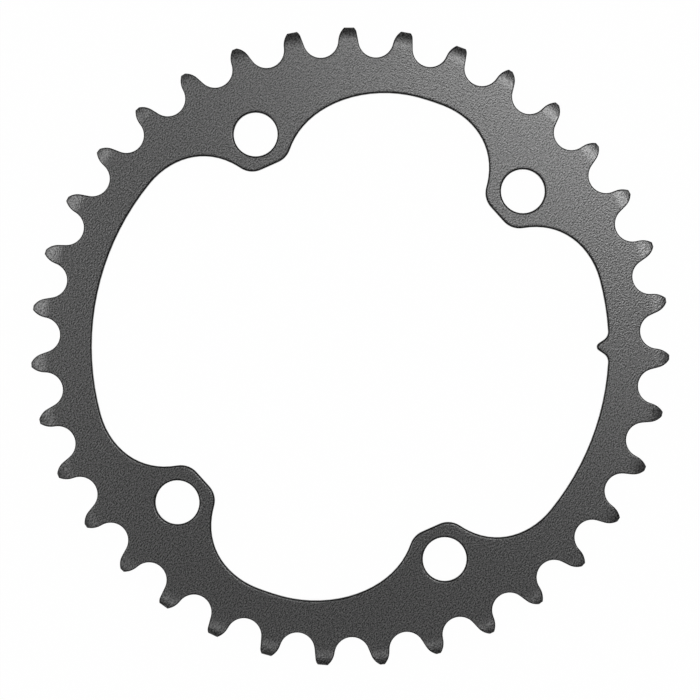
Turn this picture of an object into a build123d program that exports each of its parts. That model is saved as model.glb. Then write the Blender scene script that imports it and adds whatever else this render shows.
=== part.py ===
from build123d import *
from math import acos, atan2, cos, degrees, pi, radians, sin, sqrt, tan
import os

# Bicycle chainring: one machined aluminium plate, with teeth outside and four bolt tabs inside.
# Sizes are in millimetres and degrees. The back face lies on z = 0, +Z leaves the shown face,
# and the middle of the bolt pattern is the origin. Angles run anticlockwise from +X.

# Chain and tooth pattern
tooth_count = 35
chain_pitch = 12.7
roller_seat_radius = 4.03
tooth_addendum = 2.66  # tip above the pitch circle
first_seat_angle = 14.925

# A flank leaves its roller seat on a straight run and ends in an arc at the tip.
# The lean is the angle of the run from the tooth's middle line.
leading_lean = 5.0
leading_run = 0.4
leading_tip_arc = 4.65
cut_lean = 16.8
cut_run = 1.85
cut_tip_arc = 4.0
full_lean = 10.2
full_run = 2.55
full_tip_arc = 2.05

# Two groups of teeth keep a full tip; every other tooth is cut back on its trailing side.
full_group_starts = (6, 22)
full_group_length = 4

# Thickness from the middle outwards
plate_thickness = 3.0
chain_inner_width = 2.2
chain_side_clearance = 0.1  # what the teeth leave free of that width
relief_below_pitch = 7.3  # from here out the back is turned away for the chain's outer plates
relief_slope = 45.0
taper_below_pitch = 1.05  # from here out a tooth thins towards its tip, rounded in front and bevelled behind
taper_radius = 11.2

# Bolt tabs and the opening between them
bolt_circle = 107.0
bolt_hole_diameter = 10.1
bolt_angle = 54.0  # from the X axis to each hole
rim_width = 7.3  # from the opening's edge to the bottom of the roller seats
tab_wall = 2.85  # between a bolt hole and the flat end of its tab
tab_flat = 4.4
tab_corner_radius = 4.9
edge_break = 0.3

# A tab's side leans away from its flat end, then sweeps into the rim.
# The pulls say how far the sweep keeps to its direction at each end.
narrow_lean = 57.6
narrow_reach = 27.9  # along the rim, from the tab's middle to the end of the sweep
narrow_tab_pull = 9.5
narrow_rim_pull = 7.5
wide_lean = 47.0
wide_tab_pull = 11.15
wide_rim_pull = 12.6
facing_rim = 5.9  # what a wide side leaves of the rim before the narrow side that faces it

# The pointer on the rim that shows which way round the ring is bolted on
pointer_angle = 12.0
pointer_height = 2.7
pointer_half_angle = 34.5
pointer_tip_radius = 1.0
pointer_foot_radius = 2.2

# How far the cuts run past the faces that they end on
overcut = 0.05

# Sizes that follow from the ones above
tooth_step = 360 / tooth_count
half_step = tooth_step / 2
pitch_radius = chain_pitch / (2 * sin(pi / tooth_count))
tip_radius = pitch_radius + tooth_addendum
root_radius = pitch_radius - roller_seat_radius
tooth_thickness = chain_inner_width - chain_side_clearance
relief_depth = plate_thickness - tooth_thickness
rim_radius = root_radius - rim_width
tab_end = bolt_circle / 2 - bolt_hole_diameter / 2 - tab_wall
bolt_angles = (bolt_angle, 180 - bolt_angle, 180 + bolt_angle, 360 - bolt_angle)

# The sides that each tab has before and after its middle, in the order of the bolt holes
narrow_angle = degrees(narrow_reach / rim_radius)
wide_angle = 180 - 2 * bolt_angle - narrow_angle - degrees(facing_rim / rim_radius)
narrow_side = dict(lean=narrow_lean, reach=narrow_angle, tab_pull=narrow_tab_pull, rim_pull=narrow_rim_pull)
wide_side = dict(lean=wide_lean, reach=wide_angle, tab_pull=wide_tab_pull, rim_pull=wide_rim_pull)
tab_sides = ((narrow_side, narrow_side), (wide_side, narrow_side)) * 2

# The trailing flanks of the two kinds of tooth, and the leading flank that they share
leading_flank = dict(lean=leading_lean, run=leading_run, tip_arc=leading_tip_arc)
cut_flank = dict(lean=cut_lean, run=cut_run, tip_arc=cut_tip_arc)
full_flank = dict(lean=full_lean, run=full_run, tip_arc=full_tip_arc)


def polar(radius, angle):
    return Vector(radius * cos(radians(angle)), radius * sin(radians(angle)))


def angle_of(point):
    return degrees(atan2(point.Y, point.X))


def arc_about(centre, start, end):
    """The shorter arc about a centre, from one point to another."""
    middle = (start + end - centre * 2).normalized() * (start - centre).length
    return ThreePointArc(start, centre + middle, end)


def flank_points(side, lean, run, tip_arc):
    """Points up a flank of a tooth along +X: its foot, its run's end, its arc's centre and its tip corner.

    The side is 1 for the leading flank and -1 for the trailing one.
    """
    inward = polar(1, -side * (90 + lean))
    foot = polar(pitch_radius, side * half_step) + inward * roller_seat_radius
    run_end = foot + polar(run, -side * lean)
    arc_centre = run_end + inward * tip_arc
    distance = arc_centre.length
    swing = acos((distance**2 + tip_radius**2 - tip_arc**2) / (2 * distance * tip_radius))
    corner = polar(tip_radius, angle_of(arc_centre) + side * degrees(swing))
    return foot, run_end, arc_centre, corner


def trailing_points(number):
    """Points up the trailing flank of a numbered tooth."""
    place = number % tooth_count
    is_full = any(start <= place < start + full_group_length for start in full_group_starts)
    return flank_points(-1, **(full_flank if is_full else cut_flank))


def tooth_edges(number):
    """A tooth along +X and the roller seat after it, up to the foot of the next tooth."""
    foot, run_end, arc_centre, corner = trailing_points(number)
    lead_foot, lead_run_end, lead_arc_centre, lead_corner = flank_points(1, **leading_flank)
    next_foot = trailing_points(number + 1)[0].rotate(Axis.Z, tooth_step)
    return [
        Line(foot, run_end),
        arc_about(arc_centre, run_end, corner),
        arc_about(Vector(), corner, lead_corner),
        arc_about(lead_arc_centre, lead_corner, lead_run_end),
        Line(lead_run_end, lead_foot),
        ThreePointArc(lead_foot, polar(root_radius, half_step), next_foot),
    ]


def toothed_outline():
    edges = []
    for number in range(tooth_count):
        turn = Rot(0, 0, first_seat_angle + half_step + number * tooth_step)
        edges += [turn * edge for edge in tooth_edges(number)]
    return make_face(edges)


def mirrored(edges):
    return [mirror(edge, about=Plane.XZ) for edge in edges]


def tab_side_edges(lean, reach, tab_pull, rim_pull):
    """The +Y side of a tab along +X, from its flat end to the rim."""
    flat_end = Vector(tab_end, tab_flat / 2)
    corner_centre = flat_end + Vector(tab_corner_radius, 0)
    corner_end = corner_centre + polar(tab_corner_radius, 180 - lean)
    tab_handle = corner_end + polar(tab_pull, 90 - lean)
    rim_point = polar(rim_radius, reach)
    rim_handle = rim_point - polar(rim_pull, reach + 90)
    return [
        arc_about(corner_centre, flat_end, corner_end),
        Bezier(corner_end, tab_handle, rim_handle, rim_point),
    ]


def tab_edges(before, after):
    """A tab along +X, with the sides before and after its middle."""
    flat = Line((tab_end, -tab_flat / 2), (tab_end, tab_flat / 2))
    return [flat, *mirrored(tab_side_edges(**before)), *tab_side_edges(**after)]


def pointer_edges():
    """The pointer along +X, and the angle from its middle to the point where each foot meets the rim."""
    flank_way = polar(1, pointer_half_angle)
    outward = polar(1, pointer_half_angle + 90)
    tip = Vector(rim_radius - pointer_height, 0)
    tip_centre = tip + Vector(pointer_tip_radius, 0)
    flank_start = tip_centre + outward * pointer_tip_radius

    # The flank ends where an arc of the foot's radius touches both it and the rim
    offset_start = flank_start + outward * pointer_foot_radius
    along = offset_start.dot(flank_way)
    room = (rim_radius - pointer_foot_radius) ** 2 - offset_start.length**2
    flank_length = sqrt(along**2 + room) - along
    foot_centre = offset_start + flank_way * flank_length
    flank_end = flank_start + flank_way * flank_length
    rim_point = foot_centre.normalized() * rim_radius
    half = [
        arc_about(tip_centre, tip, flank_start),
        Line(flank_start, flank_end),
        arc_about(foot_centre, flank_end, rim_point),
    ]
    return half + mirrored(half), angle_of(rim_point)


def opening_outline():
    # The pointer and the tabs in turn: its angle, its edges, and the angles that it takes up before and after
    pointer, pointer_reach = pointer_edges()
    shapes = [(pointer_angle, pointer, pointer_reach, pointer_reach)]
    for angle, (before, after) in zip(bolt_angles, tab_sides):
        shapes.append((angle, tab_edges(before, after), before["reach"], after["reach"]))

    # The rim runs from the end of each shape to the start of the next
    edges = []
    starts = []
    ends = []
    for angle, shape, before, after in shapes:
        edges += [Rot(0, 0, angle) * edge for edge in shape]
        starts.append(angle - before)
        ends.append(angle + after)
    for rim_start, rim_end in zip(ends, starts[1:] + starts[:1]):
        edges.append(CenterArc((0, 0), rim_radius, rim_start, (rim_end - rim_start) % 360))
    return make_face(edges)


def turned_section():
    """Half of the turned section, with the radius along X and the height along Y."""
    taper_start = pitch_radius - taper_below_pitch
    outer = tip_radius + overcut
    drop = taper_radius - sqrt(taper_radius**2 - (outer - taper_start) ** 2)
    front_start = Vector(taper_start, plate_thickness)
    front_outer = Vector(outer, plate_thickness - drop)
    back_outer = Vector(outer, relief_depth + drop)
    relief_end = pitch_radius - relief_below_pitch
    relief_start = relief_end - relief_depth / tan(radians(relief_slope))
    corners = [
        front_start,
        (0, plate_thickness),
        (0, 0),
        (relief_start, 0),
        (relief_end, relief_depth),
        (taper_start, relief_depth),
        back_outer,
        front_outer,
    ]
    return make_face([Polyline(corners), TangentArc(front_start, front_outer, tangent=(1, 0))])


# The plate, cut to its outline and turned to its section
bolt_holes = [Pos(polar(bolt_circle / 2, angle)) * Circle(bolt_hole_diameter / 2) for angle in bolt_angles]
plan = toothed_outline() - opening_outline() - bolt_holes
blank = extrude(Pos(0, 0, -overcut) * plan, plate_thickness + 2 * overcut)
chainring = blank & revolve(Plane.XZ * turned_section(), Axis.Z)

# The edges of the opening and of the bolt holes, broken on both faces
faces_by_height = chainring.faces().sort_by(Axis.Z)
inner_wires = faces_by_height[0].inner_wires() + faces_by_height[-1].inner_wires()
chainring = chamfer([edge for wire in inner_wires for edge in wire.edges()], edge_break)

os.makedirs("parts", exist_ok=True)
export_step(chainring, "parts/chainring.step")
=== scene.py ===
from math import cos, pi, radians, sin

import bpy
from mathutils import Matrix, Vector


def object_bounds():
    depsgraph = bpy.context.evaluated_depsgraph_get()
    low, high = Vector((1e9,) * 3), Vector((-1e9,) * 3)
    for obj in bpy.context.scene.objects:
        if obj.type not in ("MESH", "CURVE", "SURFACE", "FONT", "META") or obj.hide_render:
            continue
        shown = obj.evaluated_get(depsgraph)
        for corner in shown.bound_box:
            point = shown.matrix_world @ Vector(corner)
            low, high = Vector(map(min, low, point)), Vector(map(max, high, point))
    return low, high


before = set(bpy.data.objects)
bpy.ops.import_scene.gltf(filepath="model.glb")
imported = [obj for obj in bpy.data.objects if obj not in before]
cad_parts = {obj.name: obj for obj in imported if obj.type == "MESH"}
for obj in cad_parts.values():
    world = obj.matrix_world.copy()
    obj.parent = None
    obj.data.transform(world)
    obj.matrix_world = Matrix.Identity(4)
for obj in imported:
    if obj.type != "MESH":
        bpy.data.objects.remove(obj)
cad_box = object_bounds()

# The chainring lies on a pale floor with its shown face up, under soft panels.
# The camera looks straight down at it. Lengths are in metres.
# Places named as in the photograph run across it to the right and up it.

# Camera
photo_turn = radians(12)  # from the part's X axis to the photograph's right
view_width = 0.16106  # what the photograph takes in at the shown face
camera_distance = 1.4
camera_across = -0.00004
camera_up = -0.00074
sensor_width = 36  # in mm, as lens lengths are

# Soft panels: place across and up the photograph, width, depth, radiance
panel_height = 0.6
panels = {
    "right_panel": (0.213, 0.150, 0.384, 0.181, 5.75),
    "left_panel": (-0.385, 0.120, 0.455, 0.354, 2.42),
    "low_panel": (-0.031, -0.256, 0.659, 0.122, 1.9),
}

# Studio round the floor: dim overhead, with a pale band above the horizon.
# Its heights are sines of the angle above the horizon.
wall_top = 0.55
wall_foot = 0.16
wall_blend = 0.08
wall_radiance = 1.1
ceiling_radiance = 0.02

floor_size = 24
floor_gap = 0.00002  # keeps the floor just clear of the ring's back face
floor_glow = 0.985  # the share of the floor's look that takes no shadow
floor_tone = "#ffffff"
paper_tone = "#f2f2f2"

# Blasted surface. Its bumps are drawn about three times as coarse as real ones, so that they show.
bump_length = 0.00036
bump_width = 0.0003
bump_layer = 0.0003  # goes evenly into the plate's thickness, so that both faces cut the grain alike
bump_turn = radians(66)
bump_depth = 0.000018
mean_height = 0.5  # of the noise that makes the bumps
slope_step = 0.5  # in bump widths, what a slope is measured over
painted_emboss_share = 0.25  # how much of a fleck's tone is painted light and shade from its slope; the rest is grain tone from its height
tone_range = 0.25  # how far from the mean a fleck takes the full dark or light tone
# The grain's two tones; their spread carries both the grain's own tone and the painted light and shade
# on the bumps' sides
dark_tone = "#3a3a3a"
light_tone = "#7e7e7e"
dark_roughness = 0.29
light_roughness = 0.33

# Edges are rounded off, and painted shade darkens the colour along them and on the cut walls.
edge_radius = 0.0006
edge_samples = 8
painted_shade_tone = "#1a1a1a"
edge_shade = 0.0012  # how far from an edge the surface is taken to turn towards it
shade_samples = 16
shade_start = radians(20)  # how far it turns where the painted shade sets in
shade_full = radians(33)


def linear(colour):
    """Linear RGBA from an sRGB hex colour."""
    channels = [int(colour[i : i + 2], 16) / 255 for i in (1, 3, 5)]
    return [c / 12.92 if c <= 0.04045 else ((c + 0.055) / 1.055) ** 2.4 for c in channels] + [1]


def add_node(tree, kind, inputs=(), **settings):
    """Adds a node, sets its settings, and fills its inputs with values or links."""
    node = tree.nodes.new(kind)
    for name, value in settings.items():
        setattr(node, name, value)
    for socket, value in dict(inputs).items():
        if isinstance(value, bpy.types.NodeSocket):
            tree.links.new(value, node.inputs[socket])
        else:
            node.inputs[socket].default_value = value
    return node


def from_photo(across, up):
    """Where a place in the photograph lies in the part's frame."""
    x = across * cos(photo_turn) - up * sin(photo_turn)
    y = across * sin(photo_turn) + up * cos(photo_turn)
    return x, y


def blank_material(name):
    """A material with no nodes."""
    material = bpy.data.materials.new(name)
    material.use_nodes = True
    material.node_tree.nodes.clear()
    return material


def blasted_anodised_aluminium():
    """Aluminium, bead-blasted and then anodised dark grey.

    The blasting gives a satin metal with a fine grain, whose bumps are lighter in tone on top.
    Painted light and shade also make each bump lighter on one side, and painted shade
    makes edges and cut walls darker than the open faces.
    """
    material = blank_material("blasted_anodised_aluminium")
    tree = material.node_tree

    # The grain: bumps whose tone follows their height, with painted light and shade from how far they
    # fall across it
    place = add_node(tree, "ShaderNodeTexCoord")
    along_grain = add_node(
        tree,
        "ShaderNodeMapping",
        vector_type="TEXTURE",
        inputs={
            "Vector": place.outputs["Object"],
            "Rotation": (0, 0, bump_turn),
            "Scale": (bump_length, bump_width, bump_layer),
        },
    )
    step_back = add_node(
        tree,
        "ShaderNodeVectorMath",
        operation="SUBTRACT",
        inputs={0: along_grain.outputs["Vector"], 1: (0, slope_step, 0)},
    )
    here = add_node(
        tree,
        "ShaderNodeTexNoise",
        inputs={"Vector": along_grain.outputs["Vector"], "Scale": 1, "Detail": 0},
    )
    before = add_node(
        tree,
        "ShaderNodeTexNoise",
        inputs={"Vector": step_back.outputs["Vector"], "Scale": 1, "Detail": 0},
    )
    # The mark mixes a bump's height, its grain tone, with its slope, whose share is painted light and
    # shade
    mark = add_node(
        tree,
        "ShaderNodeMath",
        operation="MULTIPLY_ADD",
        inputs={0: here.outputs[0], 1: -painted_emboss_share, 2: before.outputs[0]},
    )
    mean_mark = mean_height * (1 - painted_emboss_share)
    fleck = add_node(
        tree,
        "ShaderNodeMapRange",
        inputs={
            "Value": mark.outputs[0],
            "From Min": mean_mark - tone_range,
            "From Max": mean_mark + tone_range,
        },
    )
    roughness = add_node(
        tree,
        "ShaderNodeMapRange",
        inputs={"Value": fleck.outputs[0], "To Min": dark_roughness, "To Max": light_roughness},
    )

    # A colour mix takes its share and its two colours at sockets 0, 6 and 7, and gives a colour at 2
    tone = add_node(
        tree,
        "ShaderNodeMix",
        data_type="RGBA",
        inputs={0: fleck.outputs[0], 6: linear(dark_tone), 7: linear(light_tone)},
    )

    # Painted shade on the edges and walls
    surface = add_node(tree, "ShaderNodeNewGeometry")
    near_edges = add_node(tree, "ShaderNodeBevel", samples=shade_samples, inputs={"Radius": edge_shade})
    off_edge = add_node(
        tree,
        "ShaderNodeVectorMath",
        operation="DOT_PRODUCT",
        inputs={0: surface.outputs["Normal"], 1: near_edges.outputs["Normal"]},
    )
    facing = add_node(tree, "ShaderNodeSeparateXYZ", inputs={"Vector": surface.outputs["Normal"]})
    level = add_node(tree, "ShaderNodeMath", operation="ABSOLUTE", inputs={0: facing.outputs["Z"]})
    open_face = add_node(
        tree,
        "ShaderNodeMath",
        operation="MINIMUM",
        inputs={0: off_edge.outputs["Value"], 1: level.outputs[0]},
    )
    unshaded_share = add_node(
        tree,
        "ShaderNodeMapRange",
        inputs={
            "Value": open_face.outputs[0],
            "From Min": cos(shade_full),
            "From Max": cos(shade_start),
        },
    )
    # The edge colour mixed in here is painted shade
    colour = add_node(
        tree,
        "ShaderNodeMix",
        data_type="RGBA",
        inputs={0: unshaded_share.outputs[0], 6: linear(painted_shade_tone), 7: tone.outputs[2]},
    )

    # The relief
    soft_edges = add_node(
        tree,
        "ShaderNodeBevel",
        samples=edge_samples,
        inputs={"Radius": edge_radius},
    )
    bumps = add_node(
        tree,
        "ShaderNodeBump",
        inputs={
            "Height": here.outputs[0],
            "Distance": bump_depth,
            "Normal": soft_edges.outputs["Normal"],
        },
    )
    metal = add_node(
        tree,
        "ShaderNodeBsdfPrincipled",
        inputs={
            "Base Color": colour.outputs[2],
            "Metallic": 1,
            "Roughness": roughness.outputs[0],
            "Normal": bumps.outputs["Normal"],
        },
    )
    add_node(tree, "ShaderNodeOutputMaterial", inputs={"Surface": metal.outputs["BSDF"]})
    return material


def pale_floor():
    """White paper, matt, that the camera and the metal see as white with a trace of shadow."""
    material = blank_material("pale_floor")
    tree = material.node_tree
    paper = add_node(tree, "ShaderNodeBsdfDiffuse", inputs={"Color": linear(paper_tone)})
    glow = add_node(tree, "ShaderNodeEmission", inputs={"Color": linear(floor_tone)})
    path = add_node(tree, "ShaderNodeLightPath")
    seen = add_node(
        tree,
        "ShaderNodeMath",
        operation="ADD",
        inputs={0: path.outputs["Is Camera Ray"], 1: path.outputs["Is Glossy Ray"]},
    )
    shown = add_node(
        tree,
        "ShaderNodeMath",
        operation="ADD",
        use_clamp=True,
        inputs={0: seen.outputs[0], 1: path.outputs["Is Transmission Ray"]},
    )
    share = add_node(
        tree,
        "ShaderNodeMath",
        operation="MULTIPLY",
        inputs={0: shown.outputs[0], 1: floor_glow},
    )
    surface = add_node(
        tree,
        "ShaderNodeMixShader",
        inputs={0: share.outputs[0], 1: paper.outputs["BSDF"], 2: glow.outputs["Emission"]},
    )
    add_node(tree, "ShaderNodeOutputMaterial", inputs={"Surface": surface.outputs["Shader"]})
    return material


def studio_walls():
    """A dim studio with a pale band above the horizon."""
    world = bpy.data.worlds.new("studio_walls")
    world.use_nodes = True
    tree = world.node_tree
    tree.nodes.clear()
    way = add_node(tree, "ShaderNodeTexCoord")
    height = add_node(tree, "ShaderNodeSeparateXYZ", inputs={"Vector": way.outputs["Generated"]})
    band = add_node(tree, "ShaderNodeValToRGB", inputs={"Fac": height.outputs["Z"]})
    stops = band.color_ramp.elements
    stops[0].position = wall_foot
    stops[1].position = wall_top
    stops.new(wall_foot + wall_blend)
    stops.new(wall_top - wall_blend)
    radiances = (ceiling_radiance, wall_radiance, wall_radiance, ceiling_radiance)
    for stop, radiance in zip(stops, radiances):
        stop.color = (radiance, radiance, radiance, 1)
    light = add_node(tree, "ShaderNodeBackground", inputs={"Color": band.outputs["Color"]})
    add_node(tree, "ShaderNodeOutputWorld", inputs={"Surface": light.outputs["Background"]})
    bpy.context.scene.world = world


def hang_panel(name, across, up, width, depth, radiance):
    """A soft rectangular lamp that faces straight down."""
    lamp = bpy.data.lights.new(name, "AREA")
    lamp.shape = "RECTANGLE"
    lamp.size = width
    lamp.size_y = depth
    lamp.energy = pi * radiance * width * depth
    panel = bpy.data.objects.new(name, lamp)
    panel.location = (*from_photo(across, up), panel_height)
    panel.rotation_euler = (0, 0, photo_turn)
    panel.visible_camera = False
    bpy.context.collection.objects.link(panel)


# The ring
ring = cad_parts["chainring"]
ring.data.materials.clear()
ring.data.materials.append(blasted_anodised_aluminium())

# The floor
bpy.ops.object.select_all(action="DESELECT")
bpy.ops.mesh.primitive_plane_add(size=floor_size, location=(0, 0, -floor_gap))
floor = bpy.context.object
floor.name = "floor"
floor.data.materials.append(pale_floor())

# The light
studio_walls()
for name, sizes in panels.items():
    hang_panel(name, *sizes)

# The camera, above the shown face
shown_face = cad_box[1].z
camera_data = bpy.data.cameras.new("camera")
camera_data.sensor_width = sensor_width
camera_data.lens = sensor_width * camera_distance / view_width
camera = bpy.data.objects.new("camera", camera_data)
camera.location = (*from_photo(camera_across, camera_up), shown_face + camera_distance)
camera.rotation_euler = (0, 0, photo_turn)
bpy.context.collection.objects.link(camera)
bpy.context.scene.camera = camera
bpy.context.scene.view_settings.view_transform = "Standard"
